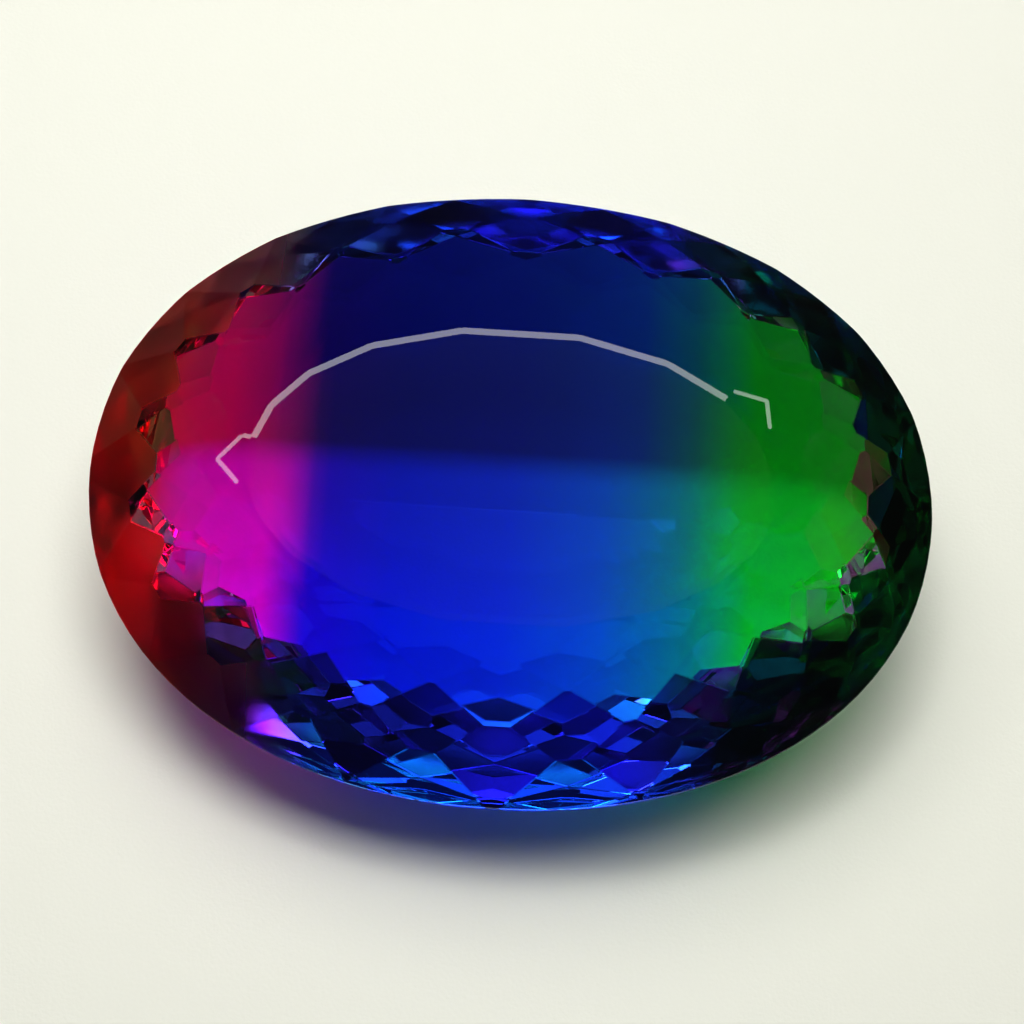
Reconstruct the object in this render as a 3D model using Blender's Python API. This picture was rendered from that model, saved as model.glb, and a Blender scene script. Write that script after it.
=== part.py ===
"""Large oval tourmaline, cut with rings of diamond-shaped facets, lying on a facet of its pavilion.

The stone is made as a cutter makes it: an oval preform is ground flat, one facet at a time. Each ring
of facets (a tier) has one slope and touches the stone along one line, a set distance in from the girdle.
Run it with blender --background --python part.py, or from Blender's text editor.

Frame of the finished stone: +X runs along its length, +Z is up, and it rests on z = 0.
"""

import math
from dataclasses import dataclass
from typing import Iterator

import bmesh
import bpy
from mathutils import Matrix, Vector

# The stone, in millimetres.
LENGTH = 75.0
WIDTH = 55.5
OUTLINE_POWER = 2.1         # 2 is an ellipse, and more than 2 is fuller at the shoulders
GIRDLE_THICKNESS = 1.6
TABLE_INSET = 15.2          # from the girdle outline to the table's edge, the same all round
RING = 20                   # facets in a full ring

# Flats left by the polish along the edges, in millimetres across.
TABLE_EDGE_FLAT = 0.6
STAR_EDGE_FLAT = 0.4
FACET_EDGE_FLAT = 0.14

# How the preform is made.
PREFORM_SIDES = 120
PREFORM_HALF_DEPTH = 30.0   # millimetres, more than the stone needs on either side of the girdle

MILLIMETRE = 0.001
ON_PLANE = 2e-5             # millimetres, within which a corner counts as lying on a cut
UPRIGHT = 1e-4              # the most that a girdle face's normal leans
TABLE_LEVEL = 1.0           # degrees, within which a face counts as having a tier's slope

COLLECTION = "tourmaline"
STONE = "tourmaline"
STONE_COLOUR = (0.004, 0.020, 0.600, 1.0)
STONE_ROUGHNESS = 0.02
STONE_IOR = 1.63


@dataclass(frozen=True)
class Tier:
    """One ring of facets.

    Attributes:
        name: what a cutter calls the ring.
        slope: angle between a facet and the table, in degrees.
        inset: how far in from the girdle outline the facets touch the stone, in millimetres.
        half_step: whether the ring is turned by half a facet, so that it interlocks with its neighbours.
        count: how many facets are in the ring.
    """

    name: str
    slope: float
    inset: float
    half_step: bool = False
    count: int = RING


# From the girdle in to the table.
CROWN = (
    Tier("girdle points", 37.0, 1.4, half_step=True),
    Tier("outer diamonds", 33.0, 3.9),
    Tier("middle diamonds", 28.5, 6.7, half_step=True),
    Tier("inner diamonds", 24.5, 9.5),
    Tier("kites", 20.0, 12.4, half_step=True),
    Tier("stars", 15.5, 14.4),
)

# From the girdle in to the keel.
PAVILION = (
    Tier("girdle row", 58.0, 1.0),
    Tier("second row", 50.0, 3.0, half_step=True),
    Tier("third row", 41.5, 5.1),
    Tier("fourth row", 33.0, 7.6, half_step=True),
    Tier("fifth row", 26.5, 10.7),
    Tier("sixth row", 20.5, 14.7, half_step=True),
    Tier("seventh row", 14.5, 19.3),
    Tier("keel row", 8.0, 25.0, half_step=True, count=RING // 2),
)
RESTING_TIER = PAVILION[-1]     # the stone lies on this ring's facet on the -Y side


def clear_scene() -> None:
    """Remove whatever objects the scene starts with."""
    for item in list(bpy.data.objects):
        bpy.data.objects.remove(item, do_unlink=True)


def outline_radius(angle: float) -> float:
    """Distance from the axis to the girdle outline in the direction of angle, in millimetres."""
    across = abs(math.cos(angle) / (LENGTH / 2)) ** OUTLINE_POWER
    along = abs(math.sin(angle) / (WIDTH / 2)) ** OUTLINE_POWER
    return (across + along) ** (-1 / OUTLINE_POWER)


def tangent_distance(azimuth: float) -> float:
    """Distance from the axis to the line that touches the girdle outline square to azimuth."""
    power = OUTLINE_POWER / (OUTLINE_POWER - 1)
    across = abs(math.cos(azimuth) * LENGTH / 2) ** power
    along = abs(math.sin(azimuth) * WIDTH / 2) ** power
    return (across + along) ** (1 / power)


def facet_azimuths(tier: Tier) -> Iterator[float]:
    """Directions that the facets of a tier face, spaced so that they look even around the oval."""
    step = 2 * math.pi / tier.count
    start = step / 2 if tier.half_step else 0.0
    for index in range(tier.count):
        turn = start + index * step
        yield math.atan2(LENGTH * math.sin(turn), WIDTH * math.cos(turn))


def touch_heights(tiers: tuple[Tier, ...]) -> list[float]:
    """Height above the girdle's middle at which each tier touches the stone.

    Between two touch lines the stone rises at the mean of their slopes, as a smooth dome would.
    """
    heights = []
    height = GIRDLE_THICKNESS / 2
    inset = 0.0
    slope = tiers[0].slope
    for tier in tiers:
        height += (tier.inset - inset) * math.tan(math.radians((slope + tier.slope) / 2))
        heights.append(height)
        inset = tier.inset
        slope = tier.slope
    return heights


def cut(stone: bmesh.types.BMesh, normal: Vector, distance: float) -> None:
    """Grind away all that lies beyond a plane, and close the stone with a flat facet there."""
    geometry = [*stone.verts, *stone.edges, *stone.faces]
    sliced = bmesh.ops.bisect_plane(
        stone,
        geom=geometry,
        dist=ON_PLANE,
        plane_co=normal * distance,
        plane_no=normal,
        clear_outer=True,
    )
    rim = [item for item in sliced["geom_cut"] if isinstance(item, bmesh.types.BMEdge)]
    open_rim = [edge for edge in rim if edge.is_boundary]
    if open_rim:
        bmesh.ops.edgeloop_fill(stone, edges=open_rim)


def cut_tiers(stone: bmesh.types.BMesh, tiers: tuple[Tier, ...], side: int) -> None:
    """Cut every facet of some tiers. The side is 1 above the girdle and -1 below it."""
    for tier, height in zip(tiers, touch_heights(tiers)):
        slope = math.radians(tier.slope)
        for azimuth in facet_azimuths(tier):
            normal = Vector((
                math.cos(azimuth) * math.sin(slope),
                math.sin(azimuth) * math.sin(slope),
                side * math.cos(slope),
            ))
            reach = tangent_distance(azimuth) - tier.inset
            cut(stone, normal, reach * math.sin(slope) + height * math.cos(slope))


def table_height() -> float:
    """Height of the table above the girdle's middle: where the stars reach the table's inset."""
    stars = CROWN[-1]
    rise = (TABLE_INSET - stars.inset) * math.tan(math.radians(stars.slope))
    return touch_heights(CROWN)[-1] + rise


def edge_flat(edge: bmesh.types.BMEdge) -> float:
    """Width of the polished flat along an edge: widest round the table, then round the stars."""
    levelness = max(face.normal.z for face in edge.link_faces)
    if levelness > math.cos(math.radians(TABLE_LEVEL)):
        return TABLE_EDGE_FLAT
    if levelness > math.cos(math.radians(CROWN[-1].slope + TABLE_LEVEL)):
        return STAR_EDGE_FLAT
    return FACET_EDGE_FLAT


def soften_edges(stone: bmesh.types.BMesh) -> None:
    """Leave a narrow flat along every edge between two facets, as a hand polish does."""
    flats = []
    for edge in stone.edges:
        first, second = (face.normal for face in edge.link_faces)
        if abs(first.z) < UPRIGHT and abs(second.z) < UPRIGHT:
            continue    # the girdle is ground round, not faceted
        half_turn = first.angle(second) / 2
        depth = edge_flat(edge) / 2 * math.tan(half_turn)
        normal = (first + second).normalized()
        flats.append((normal, normal.dot(edge.verts[0].co) - depth))
    for normal, distance in flats:
        cut(stone, normal, distance)


def make_preform() -> bmesh.types.BMesh:
    """An upright oval drum, with the outline of the finished stone."""
    preform = bmesh.new()
    bmesh.ops.create_cone(
        preform,
        cap_ends=True,
        segments=PREFORM_SIDES,
        radius1=1.0,
        radius2=1.0,
        depth=2 * PREFORM_HALF_DEPTH,
    )
    for corner in preform.verts:
        radius = outline_radius(math.atan2(corner.co.y, corner.co.x))
        corner.co.x *= radius
        corner.co.y *= radius
    return preform


def cut_stone() -> bmesh.types.BMesh:
    """Cut the whole stone, with the middle of its girdle at the origin and its table level."""
    stone = make_preform()
    cut_tiers(stone, CROWN, 1)
    cut(stone, Vector((0.0, 0.0, 1.0)), table_height())
    cut_tiers(stone, PAVILION, -1)
    soften_edges(stone)
    return stone


def resting_transform(stone: bmesh.types.BMesh) -> Matrix:
    """Turn the stone on to its resting facet, centre it on z = 0, and go from millimetres to metres."""
    turn = Matrix.Rotation(math.radians(RESTING_TIER.slope), 4, "X")
    corners = [turn @ corner.co for corner in stone.verts]
    low = Vector([min(corner[axis] for corner in corners) for axis in range(3)])
    high = Vector([max(corner[axis] for corner in corners) for axis in range(3)])
    base_middle = Vector(((low.x + high.x) / 2, (low.y + high.y) / 2, low.z))
    return Matrix.Scale(MILLIMETRE, 4) @ Matrix.Translation(-base_middle) @ turn


def stone_material() -> bpy.types.Material:
    """Clear polished crystal, in the colour of the stone's middle."""
    material = bpy.data.materials.new("tourmaline crystal")
    material.use_nodes = True
    shader = material.node_tree.nodes["Principled BSDF"]
    shader.inputs["Base Color"].default_value = STONE_COLOUR
    shader.inputs["Roughness"].default_value = STONE_ROUGHNESS
    shader.inputs["Metallic"].default_value = 0.0
    shader.inputs["IOR"].default_value = STONE_IOR
    shader.inputs["Transmission Weight"].default_value = 1.0
    return material


def add_stone() -> bpy.types.Object:
    """Cut the stone and put it, resting, into its own collection."""
    stone = cut_stone()
    placing = resting_transform(stone)
    bmesh.ops.recalc_face_normals(stone, faces=stone.faces[:])
    mesh = bpy.data.meshes.new(STONE)
    stone.to_mesh(mesh)
    stone.free()
    mesh.transform(placing)
    mesh.materials.append(stone_material())
    item = bpy.data.objects.new(STONE, mesh)
    collection = bpy.data.collections.new(COLLECTION)
    bpy.context.scene.collection.children.link(collection)
    collection.objects.link(item)
    return item


clear_scene()
add_stone()
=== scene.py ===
"""Looks of the oval tri-colour tourmaline: see-through zoned crystal, on white paper in soft light."""

import logging
import math
from dataclasses import dataclass, field
from enum import Enum
from typing import Any

import bpy
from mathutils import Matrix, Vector


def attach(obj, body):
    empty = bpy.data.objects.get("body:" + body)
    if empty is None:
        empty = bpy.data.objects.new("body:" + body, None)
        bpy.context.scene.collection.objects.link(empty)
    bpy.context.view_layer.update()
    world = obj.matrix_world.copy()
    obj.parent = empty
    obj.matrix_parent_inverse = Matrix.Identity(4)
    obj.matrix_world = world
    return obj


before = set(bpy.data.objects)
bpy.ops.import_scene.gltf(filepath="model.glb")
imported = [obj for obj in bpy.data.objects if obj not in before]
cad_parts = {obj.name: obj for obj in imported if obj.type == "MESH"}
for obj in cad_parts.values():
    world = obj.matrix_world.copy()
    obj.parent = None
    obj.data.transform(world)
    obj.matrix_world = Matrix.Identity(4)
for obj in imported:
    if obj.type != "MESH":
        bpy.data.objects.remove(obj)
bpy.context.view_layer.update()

log = logging.getLogger("tourmaline")

MM = 0.001
STONE_NODE = "tourmaline"
GIRDLE_HEIGHT_MM = 15.6  # at the middle of the stone
LEAN = math.radians(8.0)  # of the table, towards -Y
LIGHTS_AIM = (0.0, 0.0, 0.01)
ZONES_REACH_MM = 40.0  # each colour ramp spans this far either side of the middle

Socket = bpy.types.NodeSocket


def linear(hex_colour: str) -> tuple[float, float, float, float]:
    """Turn an sRGB hex colour into Blender's linear colour.

    Args:
        hex_colour: six digits, such as "d0103a".

    Returns:
        Red, green, blue and an opacity of 1.
    """
    channels = (int(hex_colour[place:place + 2], 16) / 255 for place in (0, 2, 4))
    red, green, blue = (
        c / 12.92 if c <= 0.04045 else ((c + 0.055) / 1.055) ** 2.4 for c in channels
    )
    return (red, green, blue, 1.0)


@dataclass
class NodeGraph:
    """The node tree of a material or world, with short ways to add to it."""

    tree: bpy.types.NodeTree

    def __post_init__(self) -> None:
        """Start from an empty tree."""
        self.tree.nodes.clear()

    def add(
        self, kind: str, links: dict[str | int, Any] | None = None, **settings: Any
    ) -> bpy.types.Node:
        """Add a node with its settings and its links.

        Args:
            kind: Blender's name for the node type.
            links: input name or number to an output socket, or to a plain value.
            settings: properties of the node.

        Returns:
            The new node.
        """
        node = self.tree.nodes.new(kind)
        for name, value in settings.items():
            setattr(node, name, value)
        for socket, source in (links or {}).items():
            if isinstance(source, Socket):
                self.tree.links.new(source, node.inputs[socket])
            else:
                node.inputs[socket].default_value = source
        return node

    def math(self, operation: str, *values: Socket | float) -> Socket:
        """Combine numbers.

        Args:
            operation: Blender's name for it, such as "ADD".
            values: sockets or plain numbers, in the operation's order.

        Returns:
            The result.
        """
        return self.add("ShaderNodeMath", dict(enumerate(values)), operation=operation).outputs[0]

    def rise(
        self, value: Socket, start: float, end: float, low: float = 0.0, high: float = 1.0
    ) -> Socket:
        """Ease from low to high while a value goes from start to end.

        Args:
            value: the number that is watched.
            start: where the change begins.
            end: where it is complete. It may be below start.
            low: the result before the change.
            high: the result after it.

        Returns:
            The eased number.
        """
        links = {"Value": value, "From Min": start, "From Max": end, "To Min": low, "To Max": high}
        return self.add("ShaderNodeMapRange", links, interpolation_type="SMOOTHSTEP").outputs[0]

    def mix(self, amount: Socket, first: Any, second: Any) -> Socket:
        """Blend two colours.

        Args:
            amount: 0 for the first, 1 for the second.
            first: a socket or a plain colour.
            second: a socket or a plain colour.

        Returns:
            The blend.
        """
        node = self.add("ShaderNodeMix", {0: amount, 6: first, 7: second}, data_type="RGBA")
        return node.outputs[2]


@dataclass(frozen=True)
class ZoneColours:
    """Colours along the crystal's length, each at its distance in millimetres from the middle."""

    marks: tuple[tuple[float, str], ...]

    def ramp(self, graph: NodeGraph, along: Socket) -> Socket:
        """Add the colour ramp.

        Args:
            graph: the material's nodes.
            along: position along the stone, from 0 at the ramp's pink end to 1 at its green end.

        Returns:
            The colour at each point.
        """
        node = graph.add("ShaderNodeValToRGB", {"Fac": along})
        stops = node.color_ramp.elements
        while len(stops) < len(self.marks):
            stops.new(0.5)
        for stop, (mark_mm, colour) in zip(stops, self.marks):
            stop.position = (mark_mm + ZONES_REACH_MM) / (2 * ZONES_REACH_MM)
            stop.color = linear(colour)
        return node.outputs["Color"]


class Tint(Enum):
    """The colours laid on the crystal, each from the pink end to the green end: the first is its own
    zoned colour, the others are painted shade and painted light.
    """

    CLEAR = ZoneColours((
        (-31, "ff0a58"), (-27.5, "ff08f8"), (-20.5, "ff04ff"), (-16.8, "400cff"), (-10, "1638ff"),
        (0, "1858ff"), (8, "1884f8"), (15.5, "18b4c8"), (20.5, "14e850"), (28, "18f834"),
        (34, "14b82c"),
    ))
    # Painted shade: darker tints for the far half of the crown, standing in for the shadowed paper under
    # the far half seen through the stone.
    SHADED_FAR_HALF = ZoneColours((
        (-34, "f00808"), (-29, "e80a18"), (-24.5, "d40a22"), (-20, "6c0c38"), (-16.8, "100838"),
        (-8, "080848"), (4, "0a0e58"), (11, "0c1678"), (15.5, "0c4c58"), (20.5, "069c10"),
        (34, "06900e"),
    ))
    # Painted shade: dark red, navy and black-green tints for the rim, standing in for the darkening that
    # light gives on its long way round inside the rim.
    RIM_SHADE = ZoneColours((
        (-34, "fc0606"), (-29, "fc0a10"), (-25, "c80a18"), (-20, "340828"), (-17, "100644"),
        (-8, "040230"), (0, "0a0a78"), (10, "0a0c90"), (15, "0a1a3c"), (20, "002c08"),
        (28, "001403"), (34, "002c06"),
    ))
    # Painted light and shade: a clear cyan on the near edge, so that glints there show bright, and dark
    # red and black green at the ends.
    EDGE_LIGHT_AND_SHADE = ZoneColours((
        (-34, "480303"), (-27, "600418"), (-23, "780638"), (-20, "80047c"), (-16.5, "2030c0"),
        (-10, "0890ff"), (4, "0890ff"), (12, "0858a8"), (19, "023010"), (34, "021804"),
    ))


@dataclass(frozen=True)
class SurfacePoint:
    """Where a point of the cut stone is, as node outputs that the masks share.

    x runs along the stone and y across it from the near side to the far side, in metres. level is 1 on
    the table and less on each facet ring further out. crown is 1 above the girdle and 0 below it.
    """

    x: Socket
    y: Socket
    level: Socket
    crown: Socket


@dataclass(frozen=True)
class ZonedTourmaline:
    """Clear tourmaline that grew in three colours, cut as one stone.

    The crystal is see-through, so each surface point tints what passes it. The outer crown rings are
    painted dark red, navy and black green where light takes the long way round inside the rim, and the
    far
    half of the crown darker: painted shade. The near edge carries painted light, and the pink end's outer
    crown painted red reflections.

    The rings are the cosines of the slope to the table at which each tint starts. The pairs in mm are
    where a change starts and where it is complete.
    """

    middle_ring: float = 0.895
    outer_rings: float = 0.86
    girdle_ring: float = 0.82
    ring_margin: float = 0.005
    girdle_blend_mm: float = 0.5
    # Where the painted shade on the far half of the crown begins, and how strong it is.
    far_shade_mm: tuple[float, float] = (-2.2, 1.0)
    far_shade_strength: float = 0.97
    # Where the painted rim shade reaches on the near side, and where the painted edge tint lies on the
    # near edge and at the pink end.
    near_crown_mm: tuple[float, float] = (-8.0, -14.0)
    near_edge_mm: tuple[float, float] = (-14.0, -19.0)
    pink_edge_mm: tuple[float, float] = (-20.0, -26.0)
    pink_edge_side_mm: tuple[float, float] = (5.0, -5.0)
    pink_end_mm: tuple[float, float] = (-16.0, -24.0)
    far_rim_mm: tuple[float, float] = (12.0, 18.0)
    pink_rim_roughness: float = 0.34
    far_rim_roughness: float = 0.10
    # The colour of the painted red reflection on the pink end's outer crown.
    painted_red_reflection: str = "f00c0c"
    ior: float = 1.63
    absorption: tuple[float, float, float, float] = (0.95, 0.80, 0.90, 1.0)
    density: float = 14.0

    def material(self) -> bpy.types.Material:
        """Build the material."""
        made = bpy.data.materials.new("zoned tourmaline")
        made.use_nodes = True
        graph = NodeGraph(made.node_tree)
        point = self.locate(graph)
        shader = graph.add(
            "ShaderNodeBsdfPrincipled",
            {
                "Base Color": self.tint(graph, point),
                "Roughness": self.roughness(graph, point),
                "Specular Tint": self.glow(graph, point),
                "IOR": self.ior,
                "Transmission Weight": 1.0,
            },
        )
        inside = {"Color": self.absorption, "Density": self.density}
        volume = graph.add("ShaderNodeVolumeAbsorption", inside)
        ends = {"Surface": shader.outputs[0], "Volume": volume.outputs[0]}
        graph.add("ShaderNodeOutputMaterial", ends)
        return made

    def locate(self, graph: NodeGraph) -> SurfacePoint:
        """Find where each surface point is on the leaning stone.

        Args:
            graph: the material's nodes.

        Returns:
            Its position, its facet's slope and its side of the girdle.
        """
        place = graph.add("ShaderNodeTexCoord").outputs["Object"]
        split = graph.add("ShaderNodeSeparateXYZ", {"Vector": place})
        x, y, z = (split.outputs[axis] for axis in "XYZ")
        girdle = graph.math("MULTIPLY_ADD", y, math.tan(LEAN), GIRDLE_HEIGHT_MM * MM)
        above = graph.math("SUBTRACT", z, girdle)
        crown = graph.rise(above, -self.girdle_blend_mm * MM, self.girdle_blend_mm * MM)
        facing = graph.add("ShaderNodeNewGeometry").outputs["True Normal"]
        table = (0.0, -math.sin(LEAN), math.cos(LEAN))
        slope = graph.add("ShaderNodeVectorMath", {0: facing, 1: table}, operation="DOT_PRODUCT")
        level = graph.math("ABSOLUTE", slope.outputs["Value"])
        return SurfacePoint(x, y, level, crown)

    def between(
        self, graph: NodeGraph, value: Socket, ends_mm: tuple[float, float], high: float = 1.0
    ) -> Socket:
        """Ease from 0 to high between two places in millimetres."""
        return graph.rise(value, ends_mm[0] * MM, ends_mm[1] * MM, high=high)

    def steeper(self, graph: NodeGraph, point: SurfacePoint, ring: float) -> Socket:
        """Pick the facets from one ring outwards: 1 on them, 0 further in."""
        return graph.rise(point.level, ring + self.ring_margin, ring - self.ring_margin)

    def outer_crown(self, graph: NodeGraph, point: SurfacePoint) -> Socket:
        """Pick the outer rings of the crown."""
        return graph.math("MULTIPLY", self.steeper(graph, point, self.outer_rings), point.crown)

    def tint(self, graph: NodeGraph, point: SurfacePoint) -> Socket:
        """Choose the colour of each point: its own zoned colour, with painted shade on the far half and
        the rim, and painted light and shade on the near edge.

        Args:
            graph: the material's nodes.
            point: where the surface point is.

        Returns:
            The base colour.
        """
        reach = ZONES_REACH_MM * MM
        span = {"Value": point.x, "From Min": -reach, "From Max": reach}
        along = graph.add("ShaderNodeMapRange", span).outputs[0]
        clear, far_half_shade, outer, edge = (tint.value.ramp(graph, along) for tint in Tint)
        # Painted shade: the far half of the crown takes the darker tint.
        far = self.between(graph, point.y, self.far_shade_mm, high=self.far_shade_strength)
        far = graph.math("MULTIPLY", far, point.crown)
        # Painted shade: the outer rings, and the middle ring on the near side, take the dark rim tint.
        middle = graph.math(
            "MULTIPLY",
            self.steeper(graph, point, self.middle_ring),
            self.between(graph, point.y, self.near_crown_mm),
        )
        rim_shaded = graph.math("MAXIMUM", self.steeper(graph, point, self.outer_rings), middle)
        rim_shaded = graph.math("MULTIPLY", rim_shaded, point.crown)
        # Painted light and shade: the near girdle ring, and the rim at the pink end, take the edge tint.
        near = graph.math(
            "MULTIPLY",
            graph.math("MULTIPLY", self.steeper(graph, point, self.girdle_ring), point.crown),
            self.between(graph, point.y, self.near_edge_mm),
        )
        pink = graph.math(
            "MULTIPLY",
            self.between(graph, point.x, self.pink_edge_mm),
            self.between(graph, point.y, self.pink_edge_side_mm),
        )
        edge_painted = graph.math("MAXIMUM", near, graph.math("MULTIPLY", rim_shaded, pink))
        return graph.mix(edge_painted, graph.mix(rim_shaded, graph.mix(far, clear, far_half_shade), outer), edge)

    def glow(self, graph: NodeGraph, point: SurfacePoint) -> Socket:
        """Paint the pink end's outer crown's reflections red: a painted reflection that stands in for red
        light seen from inside.

        Args:
            graph: the material's nodes.
            point: where the surface point is.

        Returns:
            The tint of the reflections.
        """
        pink = self.between(graph, point.x, self.pink_end_mm)
        there = graph.math("MULTIPLY", pink, self.outer_crown(graph, point))
        return graph.mix(there, linear("ffffff"), linear(self.painted_red_reflection))

    def roughness(self, graph: NodeGraph, point: SurfacePoint) -> Socket:
        """Keep the faces polished but for the pink end's and far side's outer crown, which glow evenly.

        Args:
            graph: the material's nodes.
            point: where the surface point is.

        Returns:
            The roughness.
        """
        pink = self.between(graph, point.x, self.pink_end_mm, high=self.pink_rim_roughness)
        far = self.between(graph, point.y, self.far_rim_mm, high=self.far_rim_roughness)
        soft = graph.math("MAXIMUM", pink, far)
        return graph.math("MULTIPLY", soft, self.outer_crown(graph, point))


@dataclass
class Stone:
    """The cut stone: the CAD solid in its zoned colours, with painted shade and light on the crown."""

    colours_and_painted_light: ZonedTourmaline = field(default_factory=ZonedTourmaline)

    def build(self) -> bpy.types.Object:
        """Dress the CAD node.

        Returns:
            The stone.
        """
        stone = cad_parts[STONE_NODE]
        material = self.colours_and_painted_light.material()
        if stone.material_slots:
            for slot in stone.material_slots:
                slot.material = material
        else:
            stone.data.materials.append(material)
        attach(stone, "root")
        return stone


@dataclass(frozen=True)
class WhitePaper:
    """Smooth drawing paper: warm white, with a fine tooth that side light picks out.

    It runs on behind the stone, where the room lights it, so to the eye it meets a wall of its own tone.
    Under the stone it glows for rays that come through the stone: painted light that stands in for the
    light the crystal gathers, so the near half shows bright.
    """

    colour: str = "edeee7"
    roughness: float = 0.9
    specular: float = 0.2
    tooth_mm: float = 0.35
    tooth_depth_mm: float = 0.05
    tooth_strength: float = 0.35
    # The colour of the paper's glow: an even backdrop far out, and painted light under the stone.
    glow: str = "e4e4de"
    distant: float = 0.62
    distant_starts_m: tuple[float, float] = (0.10, 0.70)
    # The painted light on the paper under the stone: its strength, and where it fades out.
    painted_light_under_stone: float = 0.24
    painted_light_ends_mm: tuple[float, float] = (26.0, 40.0)

    def material(self) -> bpy.types.Material:
        """Build the material."""
        made = bpy.data.materials.new("white paper")
        made.use_nodes = True
        graph = NodeGraph(made.node_tree)
        place = graph.add("ShaderNodeTexCoord").outputs["Object"]
        shader = graph.add(
            "ShaderNodeBsdfPrincipled",
            {
                "Base Color": linear(self.colour),
                "Roughness": self.roughness,
                "Specular IOR Level": self.specular,
                "Normal": self.tooth(graph, place),
                "Emission Color": linear(self.glow),
                "Emission Strength": self.lit(graph, place),
            },
        )
        graph.add("ShaderNodeOutputMaterial", {"Surface": shader.outputs[0]})
        # The glow is too faint to be worth aiming light samples at.
        made.cycles.emission_sampling = "NONE"
        return made

    def tooth(self, graph: NodeGraph, place: Socket) -> Socket:
        """Raise the paper's tooth.

        Args:
            graph: the material's nodes.
            place: position on the sheet.

        Returns:
            The bumped normal.
        """
        grain = {"Vector": place, "Scale": 1 / (self.tooth_mm * MM), "Detail": 1.0}
        height = graph.add("ShaderNodeTexNoise", grain).outputs[0]
        depth = self.tooth_depth_mm * MM
        relief = {"Height": height, "Strength": self.tooth_strength, "Distance": depth}
        return graph.add("ShaderNodeBump", relief).outputs[0]

    def lit(self, graph: NodeGraph, place: Socket) -> Socket:
        """Make the far paper glow for the eye, and paint light on the paper under the stone where it is
        seen through the crystal.

        Args:
            graph: the material's nodes.
            place: position on the sheet, from the middle of the stone.

        Returns:
            The strength of the glow.
        """
        away = graph.add("ShaderNodeVectorMath", {0: place}, operation="LENGTH").outputs["Value"]
        path = graph.add("ShaderNodeLightPath").outputs
        distant = graph.rise(away, *self.distant_starts_m, high=self.distant)
        # Painted light: the paper under the stone glows for rays that came through the stone.
        starts, ends = (edge * MM for edge in self.painted_light_ends_mm)
        under = graph.rise(away, starts, ends, low=self.painted_light_under_stone, high=0.0)
        lit_far = graph.math("MULTIPLY", path["Is Camera Ray"], distant)
        painted_light_under = graph.math("MULTIPLY", path["Is Transmission Ray"], under)
        return graph.math("ADD", lit_far, painted_light_under)


@dataclass(frozen=True)
class SkyPatch:
    """A soft bright part of the room, by its angles in degrees: zenith from overhead, azimuth from +X."""

    zenith: tuple[float, float]
    azimuth: tuple[float, float]
    radiance: float
    soft: float = 0.8

    def level(self, graph: NodeGraph, zenith: Socket, azimuth: Socket) -> Socket:
        """Add the patch's light in each direction.

        Args:
            graph: the world's nodes.
            zenith: angle from straight up, in radians.
            azimuth: angle round from +X, in radians.

        Returns:
            The patch's radiance.
        """
        result: Socket | float = self.radiance
        for angle, (low, high) in ((zenith, self.zenith), (azimuth, self.azimuth)):
            starts = graph.rise(angle, math.radians(low - self.soft), math.radians(low + self.soft))
            ends = graph.rise(angle, math.radians(high + self.soft), math.radians(high - self.soft))
            result = graph.math("MULTIPLY", result, graph.math("MULTIPLY", starts, ends))
        return result


@dataclass
class Room:
    """A dark room with a window band beyond the stone, and paper-white walls for the eye.

    The first patch is the dim ceiling. The second mirrors in the table's bevel as the long bent
    highlight, the third and fourth as the hook at its left end, and the last as the stub at its right
    end. ambient is the rest of the room, and sparkle what it adds where it is seen through the stone.
    """

    patches: tuple[SkyPatch, ...] = (
        SkyPatch(zenith=(-9, 22), azimuth=(-190, 190), radiance=0.08, soft=4.0),
        SkyPatch(zenith=(17.5, 26.8), azimuth=(54, 156), radiance=3.6),
        SkyPatch(zenith=(40.6, 45.0), azimuth=(160, 178), radiance=3.6, soft=0.4),
        SkyPatch(zenith=(37.8, 41.0), azimuth=(156.5, 161.5), radiance=3.6, soft=0.4),
        SkyPatch(zenith=(43.8, 46.8), azimuth=(42, 54), radiance=3.6, soft=0.4),
    )
    ambient: float = 0.03
    sparkle: float = 0.12
    wall: str = "e4e4de"

    def build(self) -> None:
        """Make the world and give it to the scene."""
        world = bpy.data.worlds.new("room")
        bpy.context.scene.world = world
        world.use_nodes = True
        graph = NodeGraph(world.node_tree)
        place = graph.add("ShaderNodeTexCoord").outputs["Generated"]
        split = graph.add("ShaderNodeSeparateXYZ", {"Vector": place})
        zenith = graph.math("ARCCOSINE", split.outputs["Z"])
        azimuth = graph.math("ARCTAN2", split.outputs["Y"], split.outputs["X"])
        level: Socket | float = self.ambient
        for patch in self.patches:
            level = graph.math("ADD", level, patch.level(graph, zenith, azimuth))
        path = graph.add("ShaderNodeLightPath").outputs
        level = graph.math("MULTIPLY_ADD", path["Is Transmission Ray"], self.sparkle, level)
        glow = graph.add("ShaderNodeBackground", {"Color": linear("ffffff"), "Strength": level})
        seen = graph.add("ShaderNodeBackground", {"Color": linear(self.wall), "Strength": 1.0})
        shown = {0: path["Is Camera Ray"], 1: glow.outputs[0], 2: seen.outputs[0]}
        both = graph.add("ShaderNodeMixShader", shown)
        graph.add("ShaderNodeOutputWorld", {"Surface": both.outputs[0]})
        # The room is dim, so light samples aimed at it would only cost time.
        world.cycles.sampling_method = "NONE"


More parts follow.
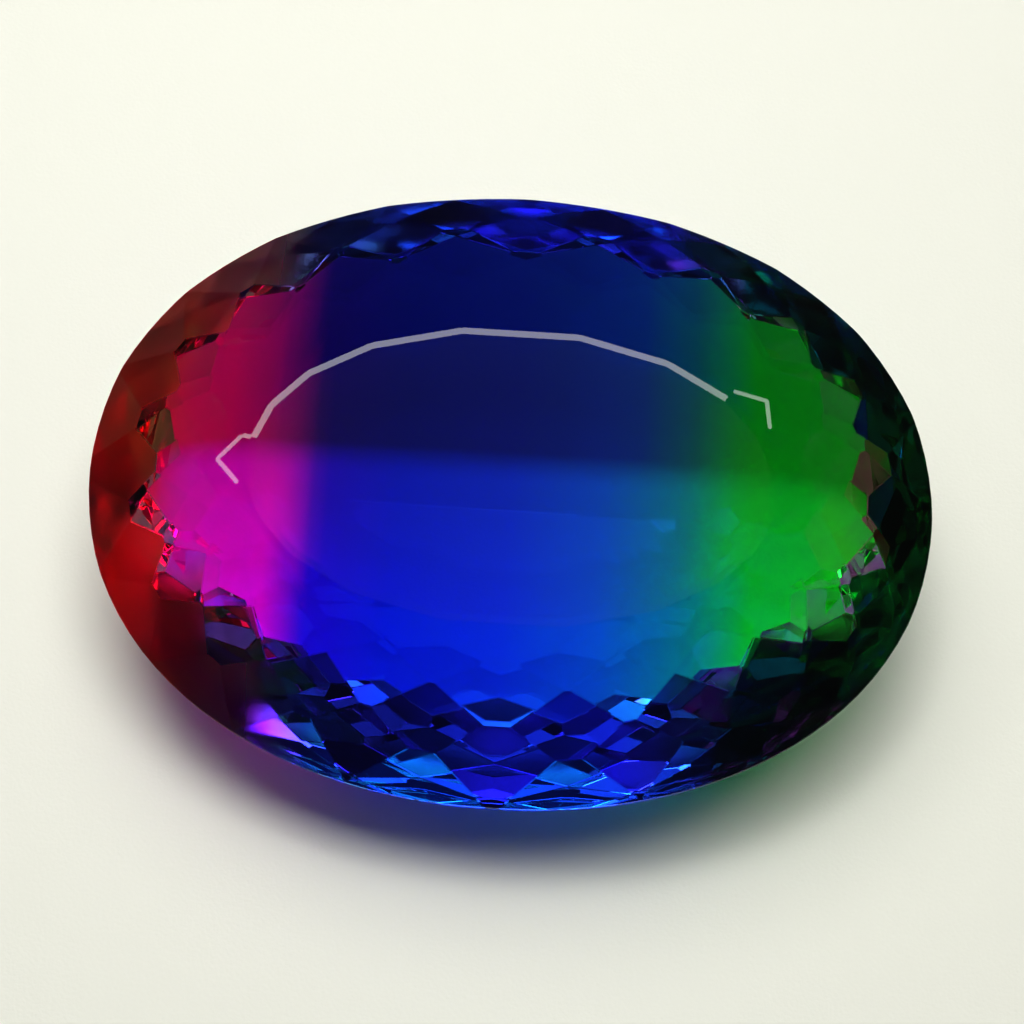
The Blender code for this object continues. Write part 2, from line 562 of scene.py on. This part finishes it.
@dataclass
class Lamp:
    """One lamp, aimed at the stone.

    on_paper weighs the light that falls straight on the paper, through_stone what reaches the paper
    through the stone, and in_rim the lamp's image after two or more mirrorings inside the rim.
    """

    name: str
    place: tuple[float, float, float]
    energy: float
    size: tuple[float, float]
    colour: str = "ffffff"
    on_paper: float = 1.0
    through_stone: float = 1.0
    in_rim: float = 0.0

    def build(self) -> bpy.types.Object:
        """Hang the lamp.

        Returns:
            The lamp's object.
        """
        data = bpy.data.lights.new(self.name, "AREA")
        data.shape = "RECTANGLE"
        data.size, data.size_y = self.size
        return self.hang(data)

    def hang(self, data: bpy.types.Light) -> bpy.types.Object:
        """Place a light and turn it to the stone.

        Args:
            data: the light, with its own shape.

        Returns:
            The lamp's object.
        """
        data.energy = self.energy
        data.color = linear(self.colour)[:3]
        lamp = bpy.data.objects.new(self.name, data)
        lamp.location = self.place
        aim = Vector(LIGHTS_AIM) - lamp.location
        lamp.rotation_euler = aim.to_track_quat("-Z", "Y").to_euler()
        lamp.visible_glossy = False
        self.weigh(data)
        bpy.context.scene.collection.objects.link(lamp)
        return lamp

    def weigh(self, data: bpy.types.Light) -> None:
        """Set how much light falls on the paper, and how bright the lamp's image deep in the rim is.

        Args:
            data: the light, whose nodes are replaced.
        """
        data.use_nodes = True
        graph = NodeGraph(data.node_tree)
        path = graph.add("ShaderNodeLightPath").outputs
        straight = graph.math("SUBTRACT", 1.0, path["Is Transmission Ray"])
        scattered = graph.math("MINIMUM", path["Diffuse Depth"], 1.0)
        passed = graph.math("MULTIPLY", path["Is Transmission Ray"], scattered)
        direct = graph.math("MULTIPLY", straight, self.on_paper)
        lit = graph.math("MULTIPLY_ADD", passed, self.through_stone, direct)
        turned_twice = graph.math("GREATER_THAN", path["Glossy Depth"], 1.5)
        unscattered = graph.math("SUBTRACT", 1.0, scattered)
        seen = graph.math("MULTIPLY", unscattered, turned_twice)
        strength = graph.math("MULTIPLY_ADD", seen, self.in_rim, lit)
        glow = graph.add("ShaderNodeEmission", {"Strength": strength})
        graph.add("ShaderNodeOutputLight", {"Surface": glow.outputs[0]})


@dataclass
class Snoot(Lamp):
    """A narrow beam that falls on the stone alone and shines through it.

    beam is its full angle, stretch widens it along the stone, and edge is how much of it fades out.
    """

    beam: float = math.radians(7.6)
    stretch: float = 1.15
    edge: float = 0.7

    def build(self) -> bpy.types.Object:
        """Hang the narrow lamp.

        Returns:
            The lamp's object.
        """
        data = bpy.data.lights.new(self.name, "SPOT")
        data.shadow_soft_size = self.size[0] / 2
        data.spot_size = self.beam
        data.spot_blend = self.edge
        lamp = self.hang(data)
        lamp.scale = (self.stretch, 1.0, 1.0)
        return lamp


def studio_lamps() -> tuple[Lamp, ...]:
    """List the lamps: two light the paper, one shines through the stone, two show only in its rim.

    Returns:
        The lamps.
    """
    in_rim_only = {"on_paper": 0.0, "through_stone": 0.0, "in_rim": 3.0}
    return (
        Lamp("softbox", (0.10, 0.36, 1.88), energy=16.5, size=(1.40, 0.56), colour="fffef8"),
        Lamp(
            "window", (-0.03, 0.10, 0.22), energy=0.23, size=(0.16, 0.16), colour="fffef4",
            through_stone=0.0,
        ),
        Snoot("snoot", (0.0, 0.085, 0.37), energy=11.0, size=(0.05, 0.05), on_paper=0.0),
        Lamp("left_strip", (-0.192, 0.332, 0.321), energy=0.80, size=(0.19, 0.07), **in_rim_only),
        Lamp("right_strip", (0.246, 0.293, 0.321), energy=0.36, size=(0.16, 0.07), **in_rim_only),
    )


@dataclass(frozen=True)
class Camera:
    """A camera close above the stone's near side, held slightly off level."""

    elevation: float = math.radians(69.5)
    distance: float = 0.19
    roll: float = math.radians(3.5)
    aim: tuple[float, float, float] = (0.0, 0.0, 0.0156)
    sensor_mm: float = 36.0
    lens_mm: float = 74.8
    shift: tuple[float, float] = (0.001, -0.0148)
    nearest: float = 0.01

    def build(self) -> bpy.types.Object:
        """Set up the camera and give it to the scene.

        Returns:
            The camera's object.
        """
        data = bpy.data.cameras.new("camera")
        data.sensor_width = self.sensor_mm
        data.lens = self.lens_mm
        data.shift_x, data.shift_y = self.shift
        data.clip_start = self.nearest
        camera = bpy.data.objects.new("camera", data)
        target = Vector(self.aim)
        back = Vector((0, -math.cos(self.elevation), math.sin(self.elevation)))
        camera.location = target + self.distance * back
        camera.rotation_euler = (target - camera.location).to_track_quat("-Z", "Y").to_euler()
        camera.rotation_euler.rotate_axis("Z", self.roll)
        bpy.context.scene.collection.objects.link(camera)
        bpy.context.scene.camera = camera
        return camera


@dataclass
class Studio:
    """Paper, room, lights and camera."""

    paper: WhitePaper = field(default_factory=WhitePaper)
    room: Room = field(default_factory=Room)
    lamps: tuple[Lamp, ...] = field(default_factory=studio_lamps)
    camera: Camera = field(default_factory=Camera)
    sheet_half_m: float = 3.0
    sheet_drop_mm: float = 0.02
    bounces: int = 13
    mirrorings: int = 12

    def build(self) -> None:
        """Set the stage."""
        self.floor()
        self.room.build()
        for lamp in self.lamps:
            lamp.build()
        self.camera.build()
        self.picture()

    def floor(self) -> bpy.types.Object:
        """Lay the sheet of paper under the stone, a hair below it so that the two never share a plane.

        Returns:
            The sheet.
        """
        mesh = bpy.data.meshes.new("paper")
        half = self.sheet_half_m
        corners = [(-half, -half, 0), (half, -half, 0), (half, half, 0), (-half, half, 0)]
        mesh.from_pydata(corners, [], [(0, 1, 2, 3)])
        mesh.materials.append(self.paper.material())
        sheet = bpy.data.objects.new("paper", mesh)
        sheet.location.z = -self.sheet_drop_mm * MM
        bpy.context.scene.collection.objects.link(sheet)
        return sheet

    def picture(self) -> None:
        """Let light bounce long enough inside the stone, and print with a firm contrast."""
        scene = bpy.context.scene
        scene.cycles.use_light_tree = False
        scene.cycles.max_bounces = self.bounces
        scene.cycles.glossy_bounces = self.mirrorings
        scene.cycles.transmission_bounces = self.bounces
        scene.view_settings.view_transform = "Standard"
        scene.view_settings.look = "Medium High Contrast"


def main() -> None:
    """Build the object and its stage."""
    logging.basicConfig(level=logging.INFO, format="%(message)s")
    stone = Stone().build()
    log.info("%s: %d faces in zoned tourmaline", stone.name, len(stone.data.polygons))
    Studio().build()
    log.info("studio: paper, room, lamps and camera")


if __name__ == "__main__":
    main()
